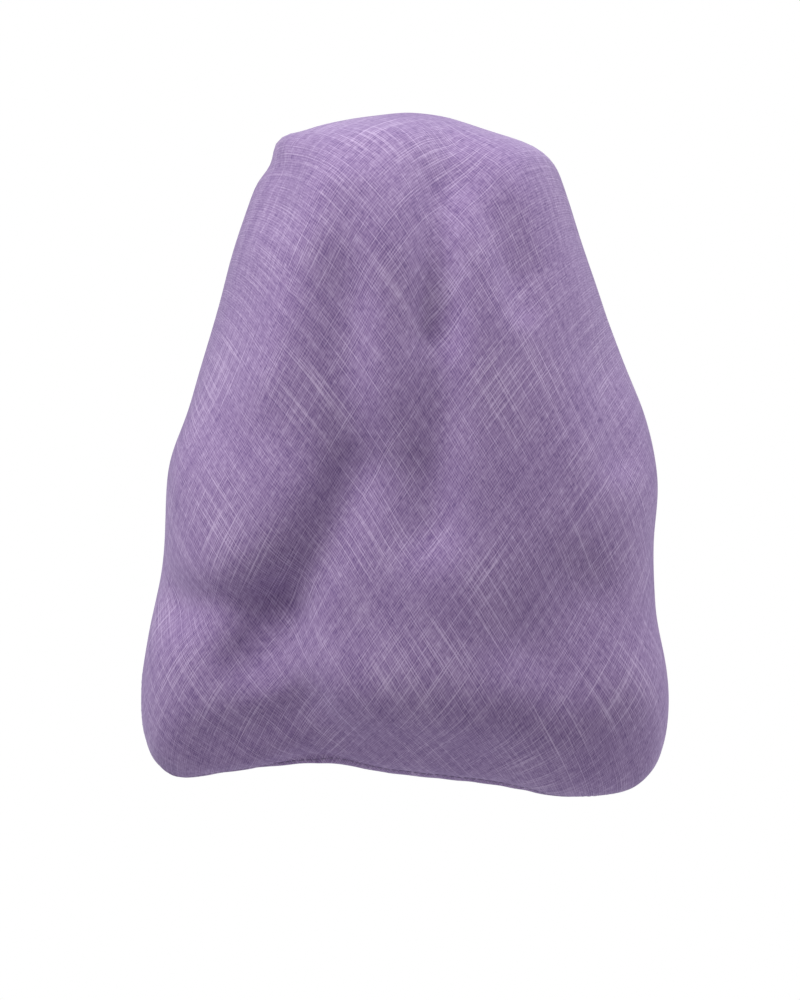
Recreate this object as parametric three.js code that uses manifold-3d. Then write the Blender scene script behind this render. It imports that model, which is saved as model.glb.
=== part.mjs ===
// Pre-tied bandana: one light cloth worn on the bias over the crown of a head. It falls in a broad
// back drape whose foot rolls under, and a tie band sewn to its two sides closes round the nape.
// Millimetres, +Z up. The origin is where the top of the head bears on the inside of the cloth.
// -Y is the back of the head, where the drape hangs, +Y is the face, and +X is the wearer's right.
import * as THREE from "three";
import { mergeVertices } from "three/addons/utils/BufferGeometryUtils.js";
import Module from "manifold-3d";

// Driving dimensions
const CLOTH_WALL = 1.2;
const TIE_WIDTH = 22;
const TIE_THICKNESS = 2;
const SEWN_GAP = 1;
const KNOT_SIZE = { across: 30, deep: 17, high: 27 };

// Mesh density
const COLUMNS = 54;
const ROWS = 44;
const TIE_STEPS = 44;
const KNOT_SIDES = { round: 14, high: 9 };

// Level sections of the worn cloth, from the crown to the rolled hem. run is the length of cloth
// from the crown down the middle of the back, drop the depth below the crown. left and right are the
// half widths, axis is where along Y the section is widest, and back and front are measured from it.
// square bends the section from an ellipse, at 2, towards a box.
const SECTIONS = [
  { run: 0, drop: 0, left: 0, right: 0, axis: 0, back: 0, front: 0, square: 2 },
  { run: 20, drop: 2.1, left: 19, right: 17, axis: 0, back: 20, front: 20, square: 2 },
  { run: 39, drop: 7, left: 39, right: 34.5, axis: 0, back: 38, front: 37, square: 2.05 },
  { run: 48, drop: 10.4, left: 48.5, right: 45, axis: 0, back: 46, front: 45, square: 2.1 },
  { run: 54, drop: 13.6, left: 54, right: 53.5, axis: 0, back: 51, front: 51, square: 2.15 },
  { run: 62, drop: 18.4, left: 57, right: 61.5, axis: 0, back: 58, front: 59, square: 2.2 },
  { run: 68, drop: 23, left: 59.8, right: 65, axis: 0, back: 63, front: 65, square: 2.2 },
  { run: 82, drop: 33, left: 65.5, right: 69.5, axis: 0, back: 72, front: 75, square: 2.2 },
  { run: 105, drop: 53, left: 72.5, right: 76, axis: 0, back: 83, front: 90, square: 2.2 },
  { run: 133, drop: 79, left: 80, right: 85, axis: -1, back: 90, front: 98, square: 2.2 },
  { run: 160, drop: 105, left: 87, right: 94.5, axis: -5, back: 92, front: 99, square: 2.2 },
  { run: 187, drop: 131, left: 93.5, right: 104.5, axis: -14, back: 87, front: 95, square: 2.2 },
  { run: 213, drop: 156, left: 100.5, right: 109.5, axis: -25, back: 80, front: 85, square: 2.2 },
  { run: 243, drop: 186, left: 103.5, right: 107.5, axis: -36, back: 73, front: 70, square: 2.2 },
  { run: 268, drop: 212, left: 108.5, right: 108, axis: -42, back: 68, front: 60, square: 2.25 },
  { run: 292, drop: 236, left: 113, right: 112.5, axis: -46, back: 63, front: 52, square: 2.3 },
  { run: 312, drop: 256, left: 113.5, right: 113.5, axis: -47, back: 58, front: 46, square: 2.3 },
  { run: 330, drop: 272, left: 109.5, right: 110, axis: -47, back: 50, front: 40, square: 2.3 },
  { run: 345, drop: 281, left: 102, right: 102.5, axis: -47, back: 40, front: 32, square: 2.3 },
  { run: 361, drop: 284, left: 91, right: 92, axis: -47, back: 29, front: 24, square: 2.3 },
];

// The cut of the cloth, laid flat with the crown at the middle: across is to the right, and forward is
// towards the face. The front edge is a shallow bow between the two tie corners, a straight side runs
// from each tie corner to a foot corner, and the foot is an arc about the crown.
const CUT = {
  frontMiddle: 104,
  tieCorner: { across: 231, forward: 49 },
  footCorner: { angle: 88, run: 343 },
  footRun: 361,
  footRoundFrom: 72,
};

// The foot of the drape hangs unevenly: how much lower than its section it is, across the back
const FOOT_SAG = [
  { x: -116, sag: 8 },
  { x: -92, sag: 2.5 },
  { x: -55, sag: -5 },
  { x: 0, sag: 0 },
  { x: 35, sag: 3 },
  { x: 80, sag: 8.5 },
  { x: 116, sag: 7 },
];
const SAG_FROM_RUN = 230;

// Soft folds on the back, each along a line seen from behind. height is out of the cloth for a
// ridge and negative for a valley, and width is the distance from its line to its steepest slope.
const FOLDS = [
  { name: "middle valley", x0: 14, drop0: 30, x1: 9, drop1: 170, width: 11, height: -6.5 },
  { name: "valley left of it", x0: -26, drop0: 70, x1: -22, drop1: 128, width: 9, height: -3 },
  { name: "ridge under the left corner", x0: -36, drop0: 22, x1: -58, drop1: 118, width: 12, height: 3 },
  { name: "dimple at the left corner", x0: -50, drop0: 25, x1: -54, drop1: 40, width: 8, height: -4 },
  { name: "valley at the right corner", x0: 29, drop0: 24, x1: 50, drop1: 66, width: 9, height: -3.5 },
  { name: "swell over the left ear", x0: -88, drop0: 150, x1: -62, drop1: 172, width: 24, height: 6 },
  { name: "slanting valley", x0: -20, drop0: 148, x1: -64, drop1: 226, width: 12, height: -10 },
  { name: "valley under the swell", x0: -56, drop0: 202, x1: -98, drop1: 208, width: 10, height: -6 },
  { name: "valley to the left foot", x0: -42, drop0: 250, x1: -84, drop1: 268, width: 9, height: -3 },
  { name: "swell of the drape", x0: 20, drop0: 215, x1: 40, drop1: 232, width: 32, height: 5 },
  { name: "valley by the right edge", x0: 82, drop0: 102, x1: 92, drop1: 142, width: 10, height: -3 },
  { name: "valley in the right drape", x0: 76, drop0: 200, x1: 60, drop1: 224, width: 13, height: -4 },
  { name: "tuck above the foot", x0: -28, drop0: 268, x1: 34, drop1: 270, width: 15, height: -5 },
];
// Folds fade out past this angle from the middle of the back
const FOLD_FADE = { from: 62, to: 100 };

// The tie band on the right: where it is sewn along the inside of the cloth, and its free route from
// there round the nape to the knot. The left end takes the same places on its own side.
const TIE_SEAT = [
  { angle: 99, run: 222 },
  { angle: 94, run: 224 },
  { angle: 89, run: 227 },
];
const TIE_ROUTE = [
  { x: 86, y: -52, z: -183 },
  { x: 62, y: -67, z: -195 },
  { x: 32, y: -76, z: -203 },
  { x: 0, y: -79, z: -206 },
];

const wasm = await Module();
wasm.setup();

// A smooth value from a table: a cubic through its rows, with each row's slope from its neighbours.
function along(table, key, column, at) {
  const last = table.length - 1;
  if (at <= table[0][key]) return table[0][column];
  if (at >= table[last][key]) return table[last][column];
  const i = table.findIndex((row) => row[key] > at) - 1;
  const slope = (j) => {
    const before = table[Math.max(j - 1, 0)];
    const after = table[Math.min(j + 1, last)];
    return (after[column] - before[column]) / (after[key] - before[key]);
  };
  const low = table[i];
  const high = table[i + 1];
  const span = high[key] - low[key];
  const t = (at - low[key]) / span;
  const rise = t * t * (3 - 2 * t);
  const lean = t * (1 - t) * ((1 - t) * slope(i) - t * slope(i + 1)) * span;
  return low[column] + (high[column] - low[column]) * rise + lean;
}

// A point of the smooth worn form, angle degrees round from the middle of the back
function formPoint(angle, run) {
  const section = (column) => along(SECTIONS, "run", column, run);
  const power = 2 / section("square");
  const sine = Math.sin(THREE.MathUtils.degToRad(angle));
  const cosine = Math.cos(THREE.MathUtils.degToRad(angle));
  const halfWidth = section(sine < 0 ? "left" : "right");
  const depth = section(cosine < 0 ? "front" : "back");
  const x = halfWidth * Math.sign(sine) * Math.abs(sine) ** power;
  const y = section("axis") - depth * Math.sign(cosine) * Math.abs(cosine) ** power;
  const sagShare = THREE.MathUtils.smoothstep(run, SAG_FROM_RUN, SECTIONS.at(-1).run);
  return new THREE.Vector3(x, y, -section("drop") - sagShare * along(FOOT_SAG, "x", "sag", x));
}

// How far the folds push the cloth out at a place on the back
function foldHeight(point, angle) {
  const fade = 1 - THREE.MathUtils.smoothstep(Math.abs(angle), FOLD_FADE.from, FOLD_FADE.to);
  const seen = new THREE.Vector2(point.x, -point.z);
  let height = 0;
  for (const fold of FOLDS) {
    const start = new THREE.Vector2(fold.x0, fold.drop0);
    const line = new THREE.Vector2(fold.x1, fold.drop1).sub(start);
    const share = THREE.MathUtils.clamp(seen.clone().sub(start).dot(line) / line.lengthSq(), 0, 1);
    const away = seen.distanceTo(start.addScaledVector(line, share)) / fold.width;
    height += fold.height * Math.exp(-away * away / 2);
  }
  return height * fade;
}

// A place on the flat cloth, from its angle round the crown and its run from there
function flatPlace(angle, run) {
  const turn = THREE.MathUtils.degToRad(angle);
  return new THREE.Vector2(run * Math.sin(turn), -run * Math.cos(turn));
}

// Where a place on the flat cloth lies on the worn form, without folds
function smoothPoint(place) {
  return formPoint(THREE.MathUtils.radToDeg(Math.atan2(place.x, -place.y)), place.length());
}

// The way out of a worn surface at a place on the flat cloth, from two short steps across and along it
function outward(place, pointAt) {
  const step = 2;
  const across = pointAt(place.clone().setX(place.x + step)).sub(pointAt(place.clone().setX(place.x - step)));
  const along = pointAt(place.clone().setY(place.y + step)).sub(pointAt(place.clone().setY(place.y - step)));
  return across.cross(along).normalize();
}

// Where a place on the flat cloth lies on the inner face of the worn cloth, folds included
function clothPoint(place) {
  const point = smoothPoint(place);
  const angle = THREE.MathUtils.radToDeg(Math.atan2(place.x, -place.y));
  return point.addScaledVector(outward(place, smoothPoint), foldHeight(point, angle));
}

// The front edge of the cut, share -1 at the left tie corner and 1 at the right one
function frontEdge(share) {
  const { across, forward } = CUT.tieCorner;
  const bow = (CUT.frontMiddle - forward) * (1 - share * share);
  return new THREE.Vector2(across * share, forward + bow);
}

// The foot edge of the cut, share -1 at the left foot corner and 1 at the right one
function footEdge(share) {
  const angle = CUT.footCorner.angle * share;
  const rounded = THREE.MathUtils.smoothstep(Math.abs(angle), CUT.footRoundFrom, CUT.footCorner.angle);
  return flatPlace(angle, THREE.MathUtils.lerp(CUT.footRun, CUT.footCorner.run, rounded));
}

// A place inside the cut: share goes from left to right, and fall from the front edge to the foot.
// The rows in between run from side to side, blended from the two edges above and below them.
function cutPlace(share, fall) {
  return frontEdge(share).lerp(footEdge(share), fall);
}

// A geometry from points and triangles of their indices
function solidGeometry(points, triangles) {
  const geometry = new THREE.BufferGeometry().setFromPoints(points);
  geometry.setIndex(triangles);
  geometry.computeVertexNormals();
  return geometry;
}

// The wall of the cloth: an outer and an inner skin over the cut, and the rim round its edge
function clothWall() {
  const outer = [];
  const inner = [];
  for (let row = 0; row <= ROWS; row++) {
    for (let column = 0; column <= COLUMNS; column++) {
      const place = cutPlace((2 * column) / COLUMNS - 1, row / ROWS);
      const face = clothPoint(place);
      inner.push(face);
      outer.push(face.clone().addScaledVector(outward(place, clothPoint), CLOTH_WALL));
    }
  }
  const under = outer.length;
  const at = (row, column) => row * (COLUMNS + 1) + column;
  const triangles = [];
  const quad = (a, b, c, d) => triangles.push(a, b, c, a, c, d);
  for (let row = 0; row < ROWS; row++) {
    for (let column = 0; column < COLUMNS; column++) {
      const corners = [at(row, column), at(row + 1, column), at(row + 1, column + 1), at(row, column + 1)];
      quad(...corners);
      quad(...corners.toReversed().map((corner) => under + corner));
    }
  }
  const rim = (from, to) => quad(from, to, under + to, under + from);
  for (let column = 0; column < COLUMNS; column++) {
    rim(at(0, column), at(0, column + 1));
    rim(at(ROWS, column + 1), at(ROWS, column));
  }
  for (let row = 0; row < ROWS; row++) {
    rim(at(row + 1, 0), at(row, 0));
    rim(at(row, COLUMNS), at(row + 1, COLUMNS));
  }
  return solidGeometry([...outer, ...inner], triangles);
}

// One long edge of the tie band, rise above its middle, from its left sewn end round the nape to its right
function tieEdge(rise) {
  const half = (side) => {
    const sewn = TIE_SEAT.map(({ angle, run }) => {
      const place = flatPlace(side * angle, run - rise);
      return clothPoint(place).addScaledVector(outward(place, clothPoint), -SEWN_GAP - TIE_THICKNESS / 2);
    });
    return [...sewn, ...TIE_ROUTE.map(({ x, y, z }) => new THREE.Vector3(side * x, y, z + rise))];
  };
  return new THREE.CatmullRomCurve3([...half(-1), ...half(1).toReversed().slice(1)]);
}

// A flat band between two edge lines
function bandGeometry(top, foot, thickness) {
  const points = [];
  for (let step = 0; step <= TIE_STEPS; step++) {
    const [high, low] = [top, foot].map((line) => line.getPoint(step / TIE_STEPS));
    const out = top.getTangent(step / TIE_STEPS).cross(high.clone().sub(low)).setLength(thickness / 2);
    for (const [corner, side] of [[high, 1], [low, 1], [low, -1], [high, -1]]) {
      points.push(corner.clone().addScaledVector(out, side));
    }
  }
  const triangles = [];
  const quad = (a, b, c, d) => triangles.push(a, b, c, a, c, d);
  for (let step = 0; step < TIE_STEPS; step++) {
    for (let side = 0; side < 4; side++) {
      const [a, b] = [4 * step + side, 4 * step + ((side + 1) % 4)];
      quad(a, b, b + 4, a + 4);
    }
  }
  quad(3, 2, 1, 0);
  quad(4 * TIE_STEPS, 4 * TIE_STEPS + 1, 4 * TIE_STEPS + 2, 4 * TIE_STEPS + 3);
  return solidGeometry(points, triangles);
}

// A closed geometry as a solid that can be joined
function asSolid(geometry) {
  const bare = geometry.clone().deleteAttribute("normal").deleteAttribute("uv");
  const merged = mergeVertices(bare);
  return new wasm.Manifold(
    new wasm.Mesh({
      numProp: 3,
      vertProperties: merged.attributes.position.array,
      triVerts: new Uint32Array(merged.index.array),
    }),
  );
}

// A joined solid as a geometry
function asGeometry(solid) {
  const { vertProperties, triVerts } = solid.getMesh();
  const geometry = new THREE.BufferGeometry();
  geometry.setAttribute("position", new THREE.BufferAttribute(vertProperties, 3));
  geometry.setIndex(new THREE.BufferAttribute(triVerts, 1));
  geometry.computeVertexNormals();
  return geometry;
}

// The tie band with the flat knot in its middle, sewn as one piece
function tieBand() {
  const [top, foot] = [tieEdge(TIE_WIDTH / 2), tieEdge(-TIE_WIDTH / 2)];
  const knotPlace = top.getPoint(0.5).lerp(foot.getPoint(0.5), 0.5);
  const knot = new THREE.SphereGeometry(0.5, KNOT_SIDES.round, KNOT_SIDES.high);
  knot.rotateX(Math.PI / 2);
  knot.scale(KNOT_SIZE.across, KNOT_SIZE.deep, KNOT_SIZE.high);
  knot.translate(...knotPlace.toArray());
  return asGeometry(asSolid(bandGeometry(top, foot, TIE_THICKNESS)).add(asSolid(knot)));
}

// A named piece in its own cloth
function piece(name, geometry, color) {
  const cloth = new THREE.MeshStandardMaterial({ color, roughness: 0.92, metalness: 0 });
  const mesh = new THREE.Mesh(geometry, cloth);
  mesh.name = name;
  return mesh;
}

const bandana = new THREE.Group();
bandana.add(piece("bandana_cloth", clothWall(), 0x8f79a3));
bandana.add(piece("nape_tie", tieBand(), 0x866f9a));

export default bandana;
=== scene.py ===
"""Dresses a pre-tied bandana of lilac slub voile, worn on the bias, hemmed, and tied at the nape."""

import logging
import math
from dataclasses import dataclass, field
from enum import Enum
from typing import Any

import bmesh
import bpy
import numpy as np
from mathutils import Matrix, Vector, noise


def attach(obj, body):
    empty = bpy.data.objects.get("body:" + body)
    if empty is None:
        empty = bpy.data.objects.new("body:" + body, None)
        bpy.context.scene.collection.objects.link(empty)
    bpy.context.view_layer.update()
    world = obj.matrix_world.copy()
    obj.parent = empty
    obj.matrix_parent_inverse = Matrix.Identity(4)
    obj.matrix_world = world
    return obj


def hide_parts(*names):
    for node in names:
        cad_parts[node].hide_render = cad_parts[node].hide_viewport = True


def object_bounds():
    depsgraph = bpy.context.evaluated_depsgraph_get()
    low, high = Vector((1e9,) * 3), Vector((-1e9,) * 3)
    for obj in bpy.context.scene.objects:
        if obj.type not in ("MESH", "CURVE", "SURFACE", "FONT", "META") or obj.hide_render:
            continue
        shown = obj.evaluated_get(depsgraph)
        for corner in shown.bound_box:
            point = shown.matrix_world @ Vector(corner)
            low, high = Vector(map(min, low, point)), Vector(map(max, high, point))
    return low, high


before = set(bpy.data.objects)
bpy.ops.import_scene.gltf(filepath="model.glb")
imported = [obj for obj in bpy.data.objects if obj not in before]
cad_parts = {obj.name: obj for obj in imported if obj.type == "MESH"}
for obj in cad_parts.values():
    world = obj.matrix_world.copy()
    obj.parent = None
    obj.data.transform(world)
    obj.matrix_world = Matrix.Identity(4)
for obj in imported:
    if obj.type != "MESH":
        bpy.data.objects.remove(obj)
CAD_BOX = [list(corner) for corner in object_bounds()]

MM = 0.001
BODY = "root"
FLAT_MAP = "flat"

logging.basicConfig(level=logging.INFO, format="%(message)s")
log = logging.getLogger("bandana")


class ThreadSet(Enum):
    """The two crossing sets of threads, by how far each leans from level at the back, in degrees."""

    WARP = 53.0
    WEFT = -53.0


def linear(hex_colour: str) -> tuple[float, float, float, float]:
    """Turns an sRGB hex colour to linear light.

    Args:
        hex_colour: Six hex digits with a leading hash.

    Returns:
        Red, green, blue and an alpha of 1.
    """
    channels = [int(hex_colour[i : i + 2], 16) / 255 for i in (1, 3, 5)]
    return (*(c / 12.92 if c <= 0.04045 else ((c + 0.055) / 1.055) ** 2.4 for c in channels), 1.0)


def add_node(
    tree: bpy.types.NodeTree, kind: str, inputs: dict[str | int, Any] | None = None, **settings: Any
) -> bpy.types.Node:
    """Adds a node with its settings, and sets or links its inputs.

    Args:
        tree: The node tree that gets the node.
        kind: The node's type name.
        inputs: Socket name or index to a value, or to an output socket to link from.
        **settings: The node's own properties.

    Returns:
        The new node.
    """
    node = tree.nodes.new(kind)
    for name, value in settings.items():
        setattr(node, name, value)
    for key, value in (inputs or {}).items():
        if isinstance(value, bpy.types.NodeSocket):
            tree.links.new(value, node.inputs[key])
        else:
            node.inputs[key].default_value = value
    return node


def activate(piece: bpy.types.Object) -> None:
    """Makes a piece the only selected and the active object.

    Args:
        piece: The piece.
    """
    bpy.ops.object.select_all(action="DESELECT")
    piece.select_set(True)
    bpy.context.view_layer.objects.active = piece


def new_piece(name: str, mesh: bpy.types.Mesh) -> bpy.types.Object:
    """Puts a mesh in the scene as a piece at the origin, selected and active.

    Args:
        name: The piece's name.
        mesh: Its mesh, with its place in it.

    Returns:
        The piece.
    """
    piece = bpy.data.objects.new(name, mesh)
    bpy.context.scene.collection.objects.link(piece)
    activate(piece)
    return piece


def apply_modifier(piece: bpy.types.Object, kind: str, **settings: Any) -> None:
    """Adds a modifier to a piece and applies it.

    Args:
        piece: The piece to change.
        kind: The modifier's type name.
        **settings: The modifier's own properties.
    """
    activate(piece)
    modifier = piece.modifiers.new(kind.lower(), kind)
    for name, value in settings.items():
        setattr(modifier, name, value)
    bpy.ops.object.modifier_apply(modifier=modifier.name)


def points_of(mesh: bpy.types.Mesh) -> np.ndarray:
    """Reads a mesh's vertices.

    Args:
        mesh: The mesh.

    Returns:
        The vertices' places, one row each.
    """
    places = np.empty(3 * len(mesh.vertices), np.float32)
    mesh.vertices.foreach_get("co", places)
    return places.reshape(-1, 3).astype(float)


def smoothstep(low: float, high: float, value: np.ndarray) -> np.ndarray:
    """Eases from 0 at low to 1 at high."""
    share = np.clip((value - low) / (high - low), 0, 1)
    return share * share * (3 - 2 * share)


@dataclass(frozen=True)
class SlubVoile:
    """Plain-woven linen-look voile, spun with uneven slub threads and dyed lilac.

    It is matt, and pale at grazing angles where loose fibres catch the light. Slubs show as pale lines of
    many lengths along both sets of threads.
    """

    gap: str = "#7A6095"
    ground: str = "#9F85B5"
    slub: str = "#D0BADF"
    fibre: str = "#D9D3F0"
    # Each streak is its run and its width in mm, and how much it tells
    threads: tuple[float, float, float] = (3.0, 0.45, 0.42)
    slubs: tuple[float, float, float] = (55.0, 0.5, 0.4)
    bands: tuple[float, float, float] = (120.0, 3.5, 0.22)
    weave_mm: float = 0.95
    weave_told: float = 0.13
    patch_mm: float = 45.0
    relief_mm: float = 0.1
    # A slub shows where its streak passes from the first share to the second
    slub_shows: tuple[float, float] = (0.63, 0.73)
    fewest_slubs: float = 0.35
    # Where the gap, ground and slub colours lie on the scale of shades
    shades: tuple[float, float, float] = (0.2, 0.5, 1.0)

    def material(self) -> bpy.types.Material:
        """Makes the cloth's material, on the piece's own flat map in metres.

        Returns:
            The material.
        """
        cloth = bpy.data.materials.new("lilac_slub_voile")
        cloth.use_nodes = True
        tree = cloth.node_tree
        tree.nodes.clear()
        flat = add_node(tree, "ShaderNodeUVMap", uv_map=FLAT_MAP).outputs["UV"]
        patch = add_node(
            tree,
            "ShaderNodeTexNoise",
            {"Vector": flat, "Scale": 1 / (self.patch_mm * MM), "Detail": 1.0},
            noise_dimensions="2D",
        ).outputs["Fac"]
        # Slubs are many in some patches and few in others
        rich = add_node(
            tree,
            "ShaderNodeMapRange",
            {"Value": patch, "From Min": 0.3, "From Max": 0.7, "To Min": self.fewest_slubs, "To Max": 1.0},
        ).outputs["Result"]
        # Threads and bands swing about a half, so half of what they tell is taken off at the start
        shade = 0.5 - self.threads[2] - self.bands[2] - self.weave_told
        for lay in ThreadSet:
            threads = self._streaks(tree, flat, lay, self.threads, 0.5)
            bands = self._streaks(tree, flat, lay, self.bands, 1.0)
            slubs = self._streaks(tree, flat, lay, self.slubs, 0.5)
            spun = add_node(
                tree,
                "ShaderNodeMapRange",
                {
                    "Value": slubs,
                    "From Min": self.slub_shows[0],
                    "From Max": self.slub_shows[1],
                    "To Min": 0.0,
                    "To Max": rich,
                },
            ).outputs["Result"]
            rows = add_node(
                tree,
                "ShaderNodeTexWave",
                {
                    "Vector": self._turned(tree, flat, lay, (self.weave_mm, self.weave_mm)),
                    # The wave node turns 20 radians for each unit
                    "Scale": 2 * math.pi / 20,
                    "Distortion": 0.6,
                    "Detail": 0.0,
                },
                bands_direction="Y",
            ).outputs["Fac"]
            for value, told in (
                (threads, self.threads[2]),
                (bands, self.bands[2]),
                (spun, self.slubs[2]),
                (rows, self.weave_told),
            ):
                shade = add_node(
                    tree, "ShaderNodeMath", {0: value, 1: told, 2: shade}, operation="MULTIPLY_ADD"
                ).outputs["Value"]
        ramp = add_node(tree, "ShaderNodeValToRGB", {"Fac": shade})
        stops = ramp.color_ramp.elements
        stops.new(self.shades[1])
        for stop, position, colour in zip(stops, self.shades, (self.gap, self.ground, self.slub)):
            stop.position = position
            stop.color = linear(colour)
        # Matt and soft: rough, hardly glossy, with a pale sheen of loose fibres at the edges
        bump = add_node(
            tree, "ShaderNodeBump", {"Height": shade, "Strength": 0.7, "Distance": self.relief_mm * MM}
        )
        surface = add_node(
            tree,
            "ShaderNodeBsdfPrincipled",
            {
                "Base Color": ramp.outputs["Color"],
                "Normal": bump.outputs["Normal"],
                "Roughness": 0.9,
                "Specular IOR Level": 0.2,
                "Sheen Weight": 0.4,
                "Sheen Roughness": 0.45,
                "Sheen Tint": linear(self.fibre),
            },
        )
        add_node(tree, "ShaderNodeOutputMaterial", {"Surface": surface.outputs["BSDF"]})
        return cloth

    @staticmethod
    def _turned(
        tree: bpy.types.NodeTree, flat: bpy.types.NodeSocket, lay: ThreadSet, size_mm: tuple[float, float]
    ) -> bpy.types.NodeSocket:
        """Turns the flat map along one set of threads.

        Args:
            tree: The material's nodes.
            flat: The place on the flat cloth, in metres.
            lay: The set of threads.
            size_mm: What counts as one along the threads and across them.

        Returns:
            The place along and across the threads.
        """
        turned = add_node(
            tree,
            "ShaderNodeMapping",
            {
                "Vector": flat,
                "Rotation": (0, 0, math.radians(lay.value)),
                "Scale": (size_mm[0] * MM, size_mm[1] * MM, 1.0),
            },
            vector_type="TEXTURE",
        )
        return turned.outputs["Vector"]

    def _streaks(
        self,
        tree: bpy.types.NodeTree,
        flat: bpy.types.NodeSocket,
        lay: ThreadSet,
        size: tuple[float, float, float],
        detail: float,
    ) -> bpy.types.NodeSocket:
        """Adds uneven streaks that run along one set of threads.

        Args:
            tree: The material's nodes.
            flat: The place on the flat cloth, in metres.
            lay: The set of threads.
            size: A streak's run and width in mm, and how much it tells.
            detail: How many finer layers the streaks have.

        Returns:
            The streaks, from 0 to 1 and mostly near 0.5.
        """
        streaks = add_node(
            tree,
            "ShaderNodeTexNoise",
            {"Vector": self._turned(tree, flat, lay, size[:2]), "Scale": 1.0, "Detail": detail},
            noise_dimensions="2D",
        )
        return streaks.outputs["Fac"]


@dataclass(frozen=True)
class SewingThread:
    """Spun polyester sewing thread.

    It is near the cloth's own colour and faintly glossy, with darker specks between its plies.
    """

    colour: str = "#A792BA"
    shadow: str = "#7D6992"
    ply_mm: float = 0.4

    def material(self) -> bpy.types.Material:
        """Makes the thread's material, mottled at the size of its plies.

        Returns:
            The material.
        """
        thread = bpy.data.materials.new("lilac_polyester_thread")
        thread.use_nodes = True
        tree = thread.node_tree
        tree.nodes.clear()
        place = add_node(tree, "ShaderNodeTexCoord").outputs["Object"]
        plies = add_node(
            tree, "ShaderNodeTexNoise", {"Vector": place, "Scale": 1 / (self.ply_mm * MM), "Detail": 0.0}
        )
        shade = add_node(tree, "ShaderNodeValToRGB", {"Fac": plies.outputs["Fac"]})
        shade.color_ramp.elements[0].color = linear(self.shadow)
        shade.color_ramp.elements[1].color = linear(self.colour)
        surface = add_node(
            tree,
            "ShaderNodeBsdfPrincipled",
            {"Base Color": shade.outputs["Color"], "Roughness": 0.6, "Sheen Weight": 0.2},
        )
        add_node(tree, "ShaderNodeOutputMaterial", {"Surface": surface.outputs["BSDF"]})
        return thread


@dataclass(frozen=True)
class Fold:
    """A soft fold seen from behind, along a line of places in mm as (across, drop below the crown).

    Its height is out of the cloth for a ridge and negative for a valley, and its width is from its line to
    its steepest slope. Most folds fade out towards the sides of the head, but some shape the outline itself.
    """

    name: str
    line: tuple[tuple[float, float], ...]
    width_mm: float
    height_mm: float
    on_outline: bool = False

    def push(self, seen: np.ndarray) -> np.ndarray:
        """How far the fold pushes the cloth out.

        Args:
            seen: Places on the cloth as (across, drop) in mm.

        Returns:
            The push at each place, in mm.
        """
        nearest = np.full(len(seen), np.inf)
        for start, end in zip(self.line, self.line[1:]):
            start, way = np.array(start), np.subtract(end, start)
            share = np.clip((seen - start) @ way / (way @ way), 0, 1)
            nearest = np.minimum(nearest, np.linalg.norm(seen - start - share[:, None] * way, axis=1))
        return self.height_mm * np.exp(-((nearest / self.width_mm) ** 2) / 2)


FOLDS = (
    Fold("middle crease", ((21, 12), (16, 50), (14, 90)), 7.0, -4.8),
    Fold("lower middle crease", ((17, 86), (17, 125), (12, 170)), 7.0, -2.0),
    Fold("ridge left of the middle", ((-9, 14), (-5, 80), (2, 135)), 8.5, 2.6),
    Fold("crease left of that ridge", ((-22, 80), (-25, 104), (-27, 128)), 6.5, -1.3),
    Fold("ridge under the left corner", ((-31, 30), (-43, 70), (-55, 108)), 9.0, 2.6),
    Fold("crease at the right corner", ((31, 22), (41, 50), (50, 80)), 5.5, -3.0),
    Fold("ridge by the right corner", ((44, 26), (58, 70)), 8.0, 1.6),
    Fold("slanting crease", ((-23, 148), (-35, 182), (-54, 208), (-70, 230)), 7.0, -1.8),
    Fold("drape below the crease", ((-6, 166), (-22, 205), (-40, 240)), 14.0, -3.2),
    Fold("swell above the crease", ((-44, 160), (-60, 184), (-80, 196)), 10.0, 2.4),
    Fold("crease under the swell", ((-56, 207), (-96, 206)), 6.5, -1.5),
    Fold("valley down from the crease", ((-52, 224), (-34, 262)), 13.0, -4.2),
    Fold("crease by the right edge", ((88, 110), (93, 145)), 6.0, -1.6),
    Fold("crease in the right drape", ((72, 200), (50, 218)), 11.0, -2.2),
    Fold("swell at the right foot", ((66, 260), (94, 248)), 13.0, 3.6),
    Fold("crease to the left foot", ((-44, 252), (-70, 266), (-98, 284)), 8.0, -1.8),
    Fold("swell above the tuck", ((-26, 240), (10, 242), (34, 248)), 14.0, 6.5),
    Fold("point at the left corner", ((-53, 11), (-54, 13)), 4.5, 2.3, on_outline=True),
    Fold("notch under the left corner", ((-58, 20), (-59, 23)), 4.5, -0.8, on_outline=True),
    Fold("tuck at the foot", ((-46, 278), (0, 281), (50, 286)), 12.0, -2.0),
)


class Side(Enum):
    """The four edges of the cut cloth."""

    FRONT = "front"
    FOOT = "foot"
    LEFT = "left"
    RIGHT = "right"


def spline_weights(count: int, at: np.ndarray) -> np.ndarray:
    """Weights that draw a natural cubic through evenly spaced places.

    Args:
        count: How many places there are.
        at: Where along them the new places are, counted in places.

    Returns:
        One row of weights for each new place.
    """
    inner = np.arange(1, count - 1)
    left, right = np.eye(count), np.zeros((count, count))
    for offset, bend, rise in ((-1, 1, 6), (0, 4, -12), (1, 1, 6)):
        left[inner, inner + offset] = bend
        right[inner, inner + offset] = rise
    bends = np.linalg.solve(left, right)
    low = np.minimum(at.astype(int), count - 2)
    share = (at - low)[:, None]
    rest = 1 - share
    straight = rest * np.eye(count)[low] + share * np.eye(count)[low + 1]
    return straight + ((rest**3 - rest) * bends[low] + (share**3 - share) * bends[low + 1]) / 6


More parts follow.
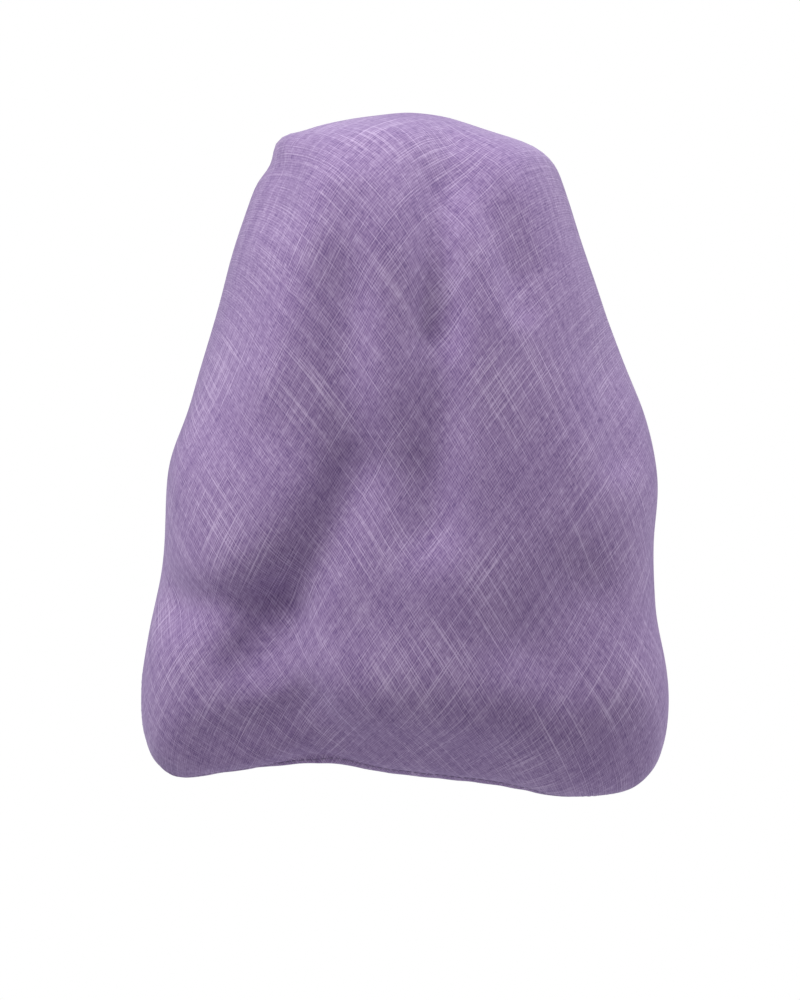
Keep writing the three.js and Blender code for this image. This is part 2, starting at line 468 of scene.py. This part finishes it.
def ways_out(grid: np.ndarray) -> np.ndarray:
    """The ways out of a grid of places, where its rows and columns turn left-handed."""
    ways = np.cross(np.gradient(grid, axis=0), np.gradient(grid, axis=1))
    return ways / np.linalg.norm(ways, axis=-1, keepdims=True)


def quads(index: np.ndarray, flip: bool = False) -> np.ndarray:
    """Makes four-sided faces over a grid of vertex numbers.

    Args:
        index: The grid of vertex numbers.
        flip: Whether the faces are turned over.

    Returns:
        One row of vertex numbers for each face.
    """
    corners = [index[:-1, :-1], index[1:, :-1], index[1:, 1:], index[:-1, 1:]]
    faces = np.stack(corners, axis=-1).reshape(-1, 4)
    return faces[:, ::-1] if flip else faces


def mesh_piece(
    name: str, places: np.ndarray, faces: list[list[int]], flat: np.ndarray
) -> bpy.types.Object:
    """Makes a piece from places and faces, with its flat map.

    Args:
        name: The piece's name.
        places: One place for each vertex, in metres.
        faces: The vertex numbers of each face.
        flat: One place on the flat cloth for each vertex, in metres.

    Returns:
        The piece.
    """
    mesh = bpy.data.meshes.new(name)
    mesh.from_pydata(places.tolist(), [], faces)
    vertex_of = np.empty(len(mesh.loops), np.int32)
    mesh.loops.foreach_get("vertex_index", vertex_of)
    layer = mesh.uv_layers.new(name=FLAT_MAP)
    layer.uv.foreach_set("vector", flat[vertex_of].astype(np.float32).ravel())
    mesh.update()
    return new_piece(name, mesh)


def along_lines(grid: np.ndarray, run: np.ndarray, at: np.ndarray) -> np.ndarray:
    """Reads a grid at given lengths along its lines.

    Args:
        grid: Values by (step along the line, line, channel).
        run: The length along each line at each step.
        at: The lengths to read, by (reading, line).

    Returns:
        Values by (reading, line, channel).
    """
    read = np.empty((*at.shape, grid.shape[2]))
    for line in range(grid.shape[1]):
        for channel in range(grid.shape[2]):
            read[:, line, channel] = np.interp(at[:, line], run[:, line], grid[:, line, channel])
    return read


def run_along(grid: np.ndarray) -> np.ndarray:
    """The length from the first row to each place, along the grid's columns."""
    steps = np.linalg.norm(np.diff(grid, axis=0), axis=-1)
    return np.concatenate([np.zeros((1, grid.shape[1])), np.cumsum(steps, axis=0)])


@dataclass
class BandanaCloth:
    """The one cloth of the bandana, from the front edge over the crown to the rolled foot.

    Its edges are turned in once and stitched down.
    """

    node: str = "bandana_cloth"
    solid_wall_mm: float = 1.2
    cloth_mm: float = 0.5
    row_steps: int = 4
    column_steps: int = 3
    edge_steps: int = 8
    hem_mm: float = 8.0
    turn_mm: float = 0.65
    stitch_line_mm: float = 6.2
    groove_mm: float = 0.3
    groove_width_mm: float = 0.9
    pucker_mm: float = 0.35
    pucker_run_mm: float = 9.0
    pucker_row: float = 7.0
    # How far in the puckers reach, in widths from the edge to the stitching
    pucker_reach: float = 1.6
    mitre_mm: float = 0.4
    hem_turns_deg: tuple[float, ...] = (45.0, 90.0, 135.0)
    hem_shares: tuple[float, ...] = (0.0, 0.25, 0.5, 0.75, 1.0)
    wrinkle_mm: float = 0.5
    wrinkle_run_mm: float = 26.0
    flat_size: tuple[float, float] = (0.46, 0.465)
    flat_area: float = 0.12
    near_places: int = 4
    # A fold is at its full height where the cloth faces at least this far backwards
    faces_back: float = 0.45
    # The fine grid: places, places on the flat cloth and ways out, by (row, column)
    places: np.ndarray = field(init=False, repr=False)
    flat: np.ndarray = field(init=False, repr=False)
    ways: np.ndarray = field(init=False, repr=False)

    def build(self, voile: bpy.types.Material) -> bpy.types.Object:
        """Makes the sheet, with its flat map, its folds, its hems and its thickness.

        Args:
            voile: The cloth's material.

        Returns:
            The sheet.
        """
        coarse = self._outer_face()
        flat = self._flat_map(coarse)
        rows = spline_weights(coarse.shape[0], self._steps(coarse.shape[0], self.row_steps))
        columns = spline_weights(coarse.shape[1], self._steps(coarse.shape[1], self.column_steps))
        self.places = np.einsum("ri,ijk,cj->rck", rows, coarse, columns)
        self.flat = np.einsum("ri,ijk,cj->rck", rows, flat, columns)
        self._fold()
        self._sink_stitching()
        self.ways = ways_out(self.places)
        sheet = self._hemmed_sheet()
        sheet.data.materials.append(voile)
        apply_modifier(sheet, "SOLIDIFY", thickness=self.cloth_mm * MM, offset=-1.0)
        activate(sheet)
        bpy.ops.object.shade_smooth()
        return sheet

    def stitch_lines(self) -> list[tuple[np.ndarray, np.ndarray]]:
        """The lines of stitching round the hem, on the outer and the inner face.

        Returns:
            Places and ways out along each line.
        """
        lines = []
        for side in Side:
            grid, ways = self._from_edge(self.places, side), self._from_edge(self.ways, side)
            at = np.full((1, grid.shape[1]), self.stitch_line_mm * MM)
            inside = self._from_corners(grid) >= self.stitch_line_mm * MM
            place = along_lines(grid, run_along(grid), at)[0, inside]
            way = along_lines(ways, run_along(grid), at)[0, inside]
            lines.append((place, way))
            lines.append((place - way * (2 * self.turn_mm) * MM, -way))
        return lines

    def reach(self, side: Side, level: tuple[float, float]) -> float:
        """How far out the cloth lies at the left or right of the head.

        Args:
            side: The left or the right.
            level: Where, as (forward of the ears, above the crown) in mm.

        Returns:
            The distance from the middle, in mm.
        """
        hand = -1 if side is Side.LEFT else 1
        places = self.places[hand * self.places[..., 0] > 0] / MM
        off = np.linalg.norm(places[:, 1:] - level, axis=1)
        near = np.argsort(off)[: self.near_places]
        return float(np.average(hand * places[near, 0], weights=1 / off[near]))

    def _outer_face(self) -> np.ndarray:
        """Lifts the outer face off the solid wall.

        Returns:
            Its places, in rows from the front edge to the foot and in columns from left to right.
        """
        skin = bmesh.new()
        skin.from_mesh(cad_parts[self.node].data)
        bmesh.ops.remove_doubles(skin, verts=skin.verts, dist=0.001 * MM)
        # The rim's faces alone have an edge about as short as the wall is thick
        wall_edge = 1.1 * self.solid_wall_mm * MM
        rim = [face for face in skin.faces if min(edge.calc_length() for edge in face.edges) < wall_edge]
        bmesh.ops.delete(skin, geom=rim, context="FACES")
        outer = self._steps_from([max(skin.verts, key=lambda vertex: vertex.co.z)])
        # A corner of the grid has two or three edges, and the rest of its border has four
        corners = sorted(
            (vertex for vertex in outer if vertex.is_boundary and len(vertex.link_edges) < 4),
            key=lambda vertex: vertex.co.x,
        )
        left, right = (sorted(pair, key=lambda vertex: -vertex.co.z) for pair in (corners[:2], corners[2:]))
        row_of = self._steps_from(self._border(left[0], right[0], corners))
        column_of = self._steps_from(self._border(left[0], left[1], corners))
        grid = np.empty((max(row_of.values()) + 1, max(column_of.values()) + 1, 3))
        for vertex, row in row_of.items():
            grid[row, column_of[vertex]] = vertex.co
        skin.free()
        return grid

    @staticmethod
    def _steps_from(starts: list[bmesh.types.BMVert]) -> dict[bmesh.types.BMVert, int]:
        """Counts steps along edges.

        Args:
            starts: The vertices to start at.

        Returns:
            How many edges each vertex in reach is from the nearest start.
        """
        steps = dict.fromkeys(starts, 0)
        todo = list(starts)
        for vertex in todo:
            for edge in vertex.link_edges:
                other = edge.other_vert(vertex)
                if other not in steps:
                    steps[other] = steps[vertex] + 1
                    todo.append(other)
        return steps

    @staticmethod
    def _border(
        start: bmesh.types.BMVert, end: bmesh.types.BMVert, corners: list[bmesh.types.BMVert]
    ) -> list[bmesh.types.BMVert]:
        """Walks the border from one corner to the next.

        Args:
            start: The corner to start at.
            end: The corner to end at.
            corners: All corners.

        Returns:
            The border's vertices, both corners included.
        """
        for first in (edge for edge in start.link_edges if edge.is_boundary):
            line, edge = [start], first
            while len(line) == 1 or line[-1] not in corners:
                line.append(edge.other_vert(line[-1]))
                edge = next(e for e in line[-1].link_edges if e.is_boundary and e is not edge)
            if line[-1] is end:
                return line
        raise ValueError("the two corners aren't neighbours")

    def _flat_map(self, grid: np.ndarray) -> np.ndarray:
        """Lays the cloth flat, with the crown at zero and the middle of the back straight down.

        Args:
            grid: The coarse places.

        Returns:
            The place of each on the flat cloth, in metres.
        """
        rows, columns = grid.shape[:2]
        index = np.arange(rows * columns).reshape(rows, columns)
        faces = quads(index).tolist()
        draft = mesh_piece("flat_draft", grid.reshape(-1, 3), faces, np.zeros((rows * columns, 2)))
        bpy.ops.object.mode_set(mode="EDIT")
        bpy.ops.mesh.select_all(action="SELECT")
        bpy.ops.uv.unwrap(method="MINIMUM_STRETCH", fill_holes=False, margin=0.0, iterations=60)
        bpy.ops.object.mode_set(mode="OBJECT")
        mesh = draft.data
        vertex_of = np.empty(len(mesh.loops), np.int32)
        mesh.loops.foreach_get("vertex_index", vertex_of)
        corners = np.empty(2 * len(mesh.loops), np.float32)
        mesh.uv_layers[FLAT_MAP].uv.foreach_get("vector", corners)
        flat = np.empty((rows * columns, 2))
        flat[vertex_of] = corners.reshape(-1, 2)
        bpy.data.objects.remove(draft)
        flat = flat.reshape(rows, columns, 2)
        middle = columns // 2
        crown = flat[np.argmax(grid[:, middle, 2]), middle]
        down, across = flat[-1, middle] - crown, flat[rows // 2, -1] - flat[rows // 2, 0]
        true = run_along(grid)[-1].mean() / np.linalg.norm(np.diff(flat, axis=0), axis=-1).sum(axis=0).mean()
        down = down / np.linalg.norm(down)
        level = np.array([-down[1], down[0]])
        level = level * np.sign(level @ across)
        return np.stack([(flat - crown) @ level, -(flat - crown) @ down], axis=-1) * true

    def _steps(self, count: int, steps: int) -> np.ndarray:
        """Where the finer lines lie, closer together over the first and last gap.

        Args:
            count: How many coarse lines there are.
            steps: How many finer gaps there are in one coarse gap.

        Returns:
            The finer lines' places, counted in coarse lines.
        """
        edge = np.arange(self.edge_steps) / self.edge_steps
        inner = np.linspace(1, count - 2, steps * (count - 3) + 1)
        return np.concatenate([edge, inner, count - 1 - edge[::-1]])

    @staticmethod
    def _from_edge(grid: np.ndarray, side: Side) -> np.ndarray:
        """A grid turned so that its rows go in from one edge of the cloth."""
        turned = grid if side in (Side.FRONT, Side.FOOT) else grid.swapaxes(0, 1)
        return turned[::-1] if side in (Side.FOOT, Side.RIGHT) else turned

    @staticmethod
    def _from_corners(grid: np.ndarray) -> np.ndarray:
        """The length from each place of a grid's first row to the nearer end of that row."""
        run = run_along(grid[:1].swapaxes(0, 1))[:, 0]
        return np.minimum(run, run[-1] - run)

    def _fold(self) -> None:
        """Adds the smaller folds and the slight unevenness of soft cloth."""
        ways = ways_out(self.places)
        seen = np.stack([self.places[..., 0], -self.places[..., 2]], axis=-1).reshape(-1, 2) / MM
        on_back = smoothstep(0.0, self.faces_back, -ways[..., 1]).ravel()
        push = np.zeros(len(seen))
        for fold in FOLDS:
            push += fold.push(seen) * (1 if fold.on_outline else on_back)
        push = push.reshape(ways.shape[:2])
        scale = 1 / (self.wrinkle_run_mm * MM)
        uneven = np.array([noise.noise(Vector(place) * scale) for place in self.places.reshape(-1, 3)])
        push += self.wrinkle_mm * uneven.reshape(push.shape)
        self.places = self.places + ways * (push * MM)[..., None]

    def _sink_stitching(self) -> None:
        """Draws the cloth in along the stitching and puckers it between there and the edge."""
        ways = ways_out(self.places)
        line = self.stitch_line_mm * MM
        groove_width = self.groove_width_mm * MM
        for side in Side:
            grid, out = self._from_edge(self.places, side), self._from_edge(ways, side)
            inset = run_along(grid)
            edge_run = run_along(grid[:1].swapaxes(0, 1))[:, 0]
            near_corner = smoothstep(0, line, self._from_corners(grid))
            groove = -self.groove_mm * np.exp(-(((inset - line) / groove_width) ** 2))
            spots = edge_run / (self.pucker_run_mm * MM)
            wave = np.array([noise.noise(Vector((spot, self.pucker_row, 0.0))) for spot in spots])
            pucker = self.pucker_mm * wave * np.exp(-((inset / (self.pucker_reach * line)) ** 2))
            # The turned grid is a view, so this moves the cloth itself
            grid += out * ((groove + pucker) * near_corner * MM)[..., None]

    def _hem(self, side: Side) -> tuple[np.ndarray, np.ndarray]:
        """The turned hem along one edge, narrowing to a mitre at both corners.

        Args:
            side: The edge.

        Returns:
            Places and flat places, by (step out from the edge and back in under it, step along it).
        """
        grid, ways, flat = (self._from_edge(g, side) for g in (self.places, self.ways, self.flat))
        run = run_along(grid)
        width = np.clip(self._from_corners(grid), self.mitre_mm * MM, self.hem_mm * MM)
        turn = self.turn_mm * MM
        inward = grid[1] - grid[0]
        inward /= np.linalg.norm(inward, axis=-1, keepdims=True)
        beyond = flat[0] - flat[1]
        beyond /= np.linalg.norm(beyond, axis=-1, keepdims=True)
        places, maps = [], []
        for angle in np.radians(self.hem_turns_deg):
            around = -ways[0] * (1 - math.cos(angle)) - inward * math.sin(angle)
            places.append(grid[0] + around * turn)
            maps.append(flat[0] + beyond * (turn * angle))
        for share in self.hem_shares:
            at = (share * width)[None]
            place = along_lines(grid, run, at)[0] - along_lines(ways, run, at)[0] * (2 * turn)
            places.append(place)
            maps.append(flat[0] + beyond * (math.pi * turn + share * width)[:, None])
        return np.array(places), np.array(maps)

    def _hemmed_sheet(self) -> bpy.types.Object:
        """Joins the cloth and its hems in one mesh.

        Returns:
            The sheet, without thickness.
        """
        rows, columns = self.places.shape[:2]
        index = np.arange(rows * columns).reshape(rows, columns)
        places, maps, faces = [self.places.reshape(-1, 3)], [self.flat.reshape(-1, 2)], [quads(index)]
        count = rows * columns
        for side in Side:
            hem, hem_map = self._hem(side)
            steps, along = hem.shape[:2]
            added = count + np.arange(steps * along).reshape(steps, along)
            count += steps * along
            places.append(hem.reshape(-1, 3))
            maps.append(hem_map.reshape(-1, 2))
            joined = np.concatenate([self._from_edge(index, side)[:1], added])
            faces.append(quads(joined, flip=side in (Side.FRONT, Side.RIGHT)))
        all_faces = np.concatenate(faces).tolist()
        return mesh_piece("bandana_sheet", np.concatenate(places), all_faces, np.concatenate(maps))


@dataclass
class Stitching:
    """Lines of lock stitches, each a short length of thread that sinks in the cloth at both ends."""

    pitch_mm: float = 3.1
    length_mm: float = 2.5
    thread_mm: float = 0.6
    sides: int = 6
    rings: int = 4

    def build(
        self, name: str, lines: list[tuple[np.ndarray, np.ndarray]], thread: bpy.types.Material
    ) -> bpy.types.Object:
        """Sews along lines.

        Args:
            name: The piece's name.
            lines: Places and ways out of the cloth along each line.
            thread: The thread's material.

        Returns:
            All the stitches as one piece.
        """
        bpy.ops.object.select_all(action="DESELECT")
        bpy.ops.mesh.primitive_uv_sphere_add(segments=self.sides, ring_count=self.rings, radius=0.5)
        stitch = bpy.context.object
        stitch.name = name
        bpy.ops.object.mode_set(mode="EDIT")
        bpy.ops.mesh.select_all(action="SELECT")
        bpy.ops.transform.rotate(value=math.pi / 2, orient_axis="Y", center_override=(0, 0, 0))
        size = [extent * MM for extent in (self.length_mm, self.thread_mm, self.thread_mm)]
        bpy.ops.transform.resize(value=size, center_override=(0, 0, 0))
        bpy.ops.object.mode_set(mode="OBJECT")
        bpy.ops.object.shade_smooth()
        template = points_of(stitch.data)
        faces = [np.array(face.vertices) for face in stitch.data.polygons]
        places, copies = [], []
        for line, ways in lines:
            run = run_along(line[:, None])
            at = np.arange(self.pitch_mm * MM / 2, run[-1, 0], self.pitch_mm * MM)[:, None]
            middles = along_lines(line[:, None], run, at)[:, 0]
            ups = along_lines(ways[:, None], run, at)[:, 0]
            # A stitch heads from a little before its middle to a little past it
            step = 0.2 * self.pitch_mm * MM
            before, past = (along_lines(line[:, None], run, at + way)[:, 0] for way in (-step, step))
            heads = past - before
            for middle, up, head in zip(middles, ups, heads):
                head = head / np.linalg.norm(head)
                across = np.cross(up, head)
                copies += [(face + len(places) * len(template)).tolist() for face in faces]
                places.append(middle + template @ np.stack([head, across, up]))
        mesh = bpy.data.meshes.new(name)
        mesh.from_pydata(np.concatenate(places).tolist(), [], copies)
        stitch.data = mesh
        mesh.materials.append(thread)
        activate(stitch)
        bpy.ops.object.shade_smooth()
        return stitch


@dataclass(frozen=True)
class TieSeat:
    """A place where the tie band lies along the inside of the cloth, in mm.

    Its middle is so far under the cloth's outer face, behind the ears and below the crown, and its low edge
    leans so far back from its top edge.
    """

    under: float
    back: float
    drop: float
    lean: float


@dataclass(frozen=True)
class TieRest:
    """A place on the middle line of the free tie band, in mm: across, behind the ears and below the crown."""

    across: float
    back: float
    drop: float


@dataclass
class NapeTie:
    """The tie band, a soft doubled strip sewn inside both sides and gathered into a flat knot at the nape."""

    node: str = "nape_tie"
    # The right half, from its sewn end to the knot. The left half takes the same places on its own side.
    seats: tuple[TieSeat, ...] = (
        TieSeat(under=3.1, back=14.0, drop=165.0, lean=10.5),
        TieSeat(under=3.1, back=23.1, drop=167.2, lean=9.2),
        TieSeat(under=3.1, back=31.3, drop=169.5, lean=8.2),
        TieSeat(under=9.0, back=41.2, drop=175.3, lean=4.5),
    )
    rests: tuple[TieRest, ...] = (
        TieRest(across=86.0, back=52.0, drop=183.0),
        TieRest(across=62.0, back=67.0, drop=195.0),
        TieRest(across=32.0, back=76.0, drop=203.0),
        TieRest(across=0.0, back=79.0, drop=206.0),
    )
    width_mm: float = 22.0
    band_mm: float = 1.8
    steps: int = 12
    round_steps: int = 40
    gather_from_mm: float = 85.0
    gathered_to_mm: float = 8.0
    gathered_width: float = 0.5
    # The section is an oval, squarer the nearer this is to 0
    section_round: float = 0.6
    pleat_mm: float = 1.5
    pleats: float = 2.5
    # What share of a pleat is left on the flat band, and how the pleats wander along it
    flat_pleat: float = 0.12
    pleat_wander: float = 0.9
    wander_mm: float = 23.0
    bunching: float = 0.9
    knot_mm: tuple[float, float, float] = (29.0, 16.5, 26.0)
    knot_grid: tuple[int, int] = (73, 41)
    knot_round: float = 0.85
    crease_mm: float = 1.1
    crease_turns: float = 7.5
    crease_slant: float = 1.6
    crease_sunk: float = 0.6
    flat_size: tuple[float, float] = (0.022, 0.3)

    def build(
        self, cloth: BandanaCloth, voile: bpy.types.Material
    ) -> tuple[bpy.types.Object, bpy.types.Object]:
        """Makes the band and the knot.

        Args:
            cloth: The cloth that the band is sewn to.
            voile: The cloth's material.

        Returns:
            The band and the knot.
        """
        pieces = (self._band(cloth), self._knot())
        for piece in pieces:
            piece.data.materials.append(voile)
            activate(piece)
            bpy.ops.object.shade_smooth()
        return pieces

    def _edge(self, cloth: BandanaCloth, rise: int) -> np.ndarray:
        """One long edge of the band, from its left sewn end round the nape to its right one.

        Args:
            cloth: The cloth that the band is sewn to.
            rise: 1 for the top edge and -1 for the low one.

        Returns:
            Places along the edge, in mm.
        """
        halves = []
        for side, hand in ((Side.LEFT, -1), (Side.RIGHT, 1)):
            half = []
            for seat in self.seats:
                level = (rise * seat.lean / 2 - seat.back, rise * self.width_mm / 2 - seat.drop)
                half.append((hand * (cloth.reach(side, level) - seat.under), *level))
            for rest in self.rests:
                half.append((hand * rest.across, -rest.back, rise * self.width_mm / 2 - rest.drop))
            halves.append(half)
        # Both halves end at the knot, which counts once
        left, right = halves
        places = np.array(left + right[-2::-1])
        gaps = len(places) - 1
        return spline_weights(len(places), np.linspace(0, gaps, self.steps * gaps + 1)) @ places

    def _band(self, cloth: BandanaCloth) -> bpy.types.Object:
        """Sweeps the band's flat section along its two edges, with pleats that deepen towards the knot.

        Args:
            cloth: The cloth that the band is sewn to.

        Returns:
            The band.
        """
        top, low = (self._edge(cloth, rise) for rise in (1, -1))
        middle, half = (top + low) / 2, (top - low) / 2
        run = run_along(middle[:, None])[:, 0]
        out = np.cross(np.gradient(middle, axis=0), half)
        out /= np.linalg.norm(out, axis=-1, keepdims=True)
        from_knot = np.abs(run - run[len(run) // 2])
        gather = 1 - smoothstep(self.gathered_to_mm, self.gather_from_mm, from_knot)
        around = np.linspace(0, 2 * math.pi, self.round_steps, endpoint=False)
        across = np.sign(np.cos(around)) * np.abs(np.cos(around)) ** self.section_round
        deep = np.sign(np.sin(around)) * np.abs(np.sin(around)) ** self.section_round
        squeeze = 1 - (1 - self.gathered_width) * gather
        wander = self.pleat_wander * np.sin(run / self.wander_mm)
        wave = np.sin(math.pi * self.pleats * across[None] + wander[:, None])
        lift = (self.flat_pleat + gather[:, None]) * self.pleat_mm * wave * (1 - across[None] ** 4)
        thick = self.band_mm / 2 * (1 + self.bunching * gather[:, None]) * deep[None]
        places = middle[:, None] + half[:, None] * (squeeze[:, None] * across[None])[..., None]
        places = places + out[:, None] * (lift + thick)[..., None]
        flat = np.stack(np.broadcast_arrays(run[:, None], self.width_mm / 2 * across[None]), axis=-1)
        rows, columns = places.shape[:2]
        index = np.arange(rows * columns).reshape(rows, columns)
        index = np.concatenate([index, index[:, :1]], axis=1)
        faces = quads(index, flip=True).tolist()
        faces += [index[0, :-1].tolist(), index[-1, :-1].tolist()[::-1]]
        return mesh_piece("nape_band", places.reshape(-1, 3) * MM, faces, flat.reshape(-1, 2) * MM)

    def _knot(self) -> bpy.types.Object:
        """Makes the knot, a soft lump creased by the turns of the band round it.

        Returns:
            The knot.
        """
        nape = self.rests[-1]
        middle = np.array((nape.across, -nape.back, -nape.drop))
        turns = np.linspace(0, 2 * math.pi, self.knot_grid[0])
        rises = np.linspace(0.0, math.pi, self.knot_grid[1])
        turn, rise = np.meshgrid(turns, rises)
        # The poles lie along the band
        unit = np.stack([np.cos(rise), np.sin(rise) * np.cos(turn), np.sin(rise) * np.sin(turn)], axis=-1)
        plump = np.sign(unit) * np.abs(unit) ** self.knot_round
        slant = self.crease_slant * np.cos(turn)
        crease = np.sin(self.crease_turns * unit[..., 0] + slant) * np.sin(rise)
        half = np.array(self.knot_mm) / 2
        places = middle + plump * half + unit * (self.crease_mm * (crease - self.crease_sunk))[..., None]
        flat = np.stack([turn * half[2], rise * half[0]], axis=-1)
        index = np.arange(turn.size).reshape(turn.shape)
        faces = quads(index).tolist()
        knot = mesh_piece("nape_knot", places.reshape(-1, 3) * MM, faces, flat.reshape(-1, 2) * MM)
        activate(knot)
        bpy.ops.object.mode_set(mode="EDIT")
        bpy.ops.mesh.select_all(action="SELECT")
        bpy.ops.mesh.remove_doubles(threshold=0.001 * MM)
        bpy.ops.mesh.normals_make_consistent(inside=False)
        bpy.ops.object.mode_set(mode="OBJECT")
        return knot


@dataclass
class PhotoCamera:
    """The camera at the photograph's viewing angle, in a frame of 800 by 1000 pixels."""

    long_side_px: int = 1000
    pixels_per_mm: float = 2.27
    distance_mm: float = 1500.0
    elevation_deg: float = 6.0
    aim_mm: tuple[float, float, float] = (-2.2, -25.0, -168.8)
    sensor_mm: float = 36.0

    def build(self) -> bpy.types.Object:
        """Makes the camera and makes it the scene's own.

        Returns:
            The camera.
        """
        camera = bpy.data.objects.new("camera", bpy.data.cameras.new("camera"))
        bpy.context.scene.collection.objects.link(camera)
        rise = math.radians(self.elevation_deg)
        back = Vector((0, -math.cos(rise), math.sin(rise)))
        camera.location = (Vector(self.aim_mm) + back * self.distance_mm) * MM
        camera.rotation_euler = (math.pi / 2 - rise, 0, 0)
        camera.data.sensor_width = self.sensor_mm
        seen_mm = self.long_side_px / self.pixels_per_mm
        camera.data.lens = self.sensor_mm * self.distance_mm / seen_mm
        camera.data.clip_end = 100.0
        bpy.context.scene.camera = camera
        return camera


@dataclass(frozen=True)
class SoftBox:
    """One large soft light, aimed at the middle of the part.

    It hangs so far to the right of the camera and so far above the part's middle, both in degrees.
    """

    name: str
    right_deg: float
    above_deg: float
    power: float
    size_m: float = 1.1
    distance_m: float = 1.6

    def build(self) -> None:
        """Hangs the light."""
        lamp = bpy.data.lights.new(self.name, "AREA")
        lamp.energy = self.power
        lamp.size = self.size_m
        box = bpy.data.objects.new(self.name, lamp)
        bpy.context.scene.collection.objects.link(box)
        right, above = math.radians(self.right_deg), math.radians(self.above_deg)
        way = Vector((math.sin(right) * math.cos(above), -math.cos(right) * math.cos(above), math.sin(above)))
        middle = (Vector(CAD_BOX[0]) + Vector(CAD_BOX[1])) / 2
        box.location = middle + way * self.distance_m
        box.rotation_euler = (-way).to_track_quat("-Z", "Y").to_euler()


@dataclass
class Studio:
    """A plain pale floor that fades out into white, and soft light from above, low down and both sides."""

    floor_gap_m: float = 0.55
    floor_fade_m: tuple[float, float] = (0.7, 1.5)
    floor_colour: str = "#D9D9DD"
    sky_light: float = 0.2
    boxes: tuple[SoftBox, ...] = (
        SoftBox("main_box", -50, 47, 17.3),
        SoftBox("left_box", -110, 40, 3.6),
        SoftBox("right_box", 105, 42, 15.4),
        SoftBox("low_left_box", -85, -16, 2.4),
        SoftBox("low_right_box", 80, -16, 4.4),
        SoftBox("top_box", 0, 84, 3.5),
    )

    def build(self) -> bpy.types.Object:
        """Makes the floor, the sky and the lights.

        Returns:
            The floor.
        """
        bpy.ops.object.select_all(action="DESELECT")
        bpy.ops.mesh.primitive_circle_add(vertices=96, radius=self.floor_fade_m[1], fill_type="NGON")
        floor = bpy.context.object
        floor.name = "floor"
        bpy.ops.transform.translate(value=(0, 0, CAD_BOX[0][2] - self.floor_gap_m))
        bpy.ops.object.transform_apply(location=True, rotation=True, scale=True)
        floor.data.materials.append(self._paint())
        self._sky()
        for box in self.boxes:
            box.build()
        return floor

    def _paint(self) -> bpy.types.Material:
        """Makes the floor's matt pale paint, clear towards its rim so that no edge of the floor shows.

        Returns:
            The paint.
        """
        paint = bpy.data.materials.new("matt_pale_floor_paint")
        paint.use_nodes = True
        tree = paint.node_tree
        tree.nodes.clear()
        place = add_node(tree, "ShaderNodeTexCoord").outputs["Object"]
        level = add_node(tree, "ShaderNodeVectorMath", {0: place, 1: (1, 1, 0)}, operation="MULTIPLY")
        away = add_node(tree, "ShaderNodeVectorMath", {0: level.outputs["Vector"]}, operation="LENGTH")
        fade = add_node(
            tree,
            "ShaderNodeMapRange",
            {
                "Value": away.outputs["Value"],
                "From Min": self.floor_fade_m[0],
                "From Max": self.floor_fade_m[1],
            },
            interpolation_type="SMOOTHSTEP",
        )
        matt = add_node(tree, "ShaderNodeBsdfDiffuse", {"Color": linear(self.floor_colour)})
        clear = add_node(tree, "ShaderNodeBsdfTransparent")
        mixed = add_node(
            tree,
            "ShaderNodeMixShader",
            {0: fade.outputs["Result"], 1: matt.outputs["BSDF"], 2: clear.outputs["BSDF"]},
        )
        add_node(tree, "ShaderNodeOutputMaterial", {"Surface": mixed.outputs["Shader"]})
        return paint

    def _sky(self) -> None:
        """Surrounds the scene with even white light, seen as plain white."""
        sky = bpy.data.worlds.new("white_sky")
        bpy.context.scene.world = sky
        sky.use_nodes = True
        tree = sky.node_tree
        tree.nodes.clear()
        seen = add_node(tree, "ShaderNodeLightPath").outputs["Is Camera Ray"]
        strength = add_node(
            tree, "ShaderNodeMapRange", {"Value": seen, "To Min": self.sky_light, "To Max": 1.0}
        )
        glow = add_node(
            tree, "ShaderNodeBackground", {"Color": (1, 1, 1, 1), "Strength": strength.outputs["Result"]}
        )
        add_node(tree, "ShaderNodeOutputWorld", {"Surface": glow.outputs["Background"]})


def main() -> None:
    """Builds the camera, the studio and the pieces in order."""
    bpy.context.scene.view_settings.view_transform = "Standard"
    PhotoCamera().build()
    Studio().build()
    voile, thread = SlubVoile().material(), SewingThread().material()
    cloth, tie = BandanaCloth(), NapeTie()
    sheet = cloth.build(voile)
    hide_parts(cloth.node)
    stitches = Stitching().build("hem_stitches", cloth.stitch_lines(), thread)
    band, knot = tie.build(cloth, voile)
    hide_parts(tie.node)
    for piece in (sheet, stitches, band, knot):
        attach(piece, BODY)
        log.info("%s: %d faces", piece.name, len(piece.data.polygons))


if __name__ == "__main__":
    main()
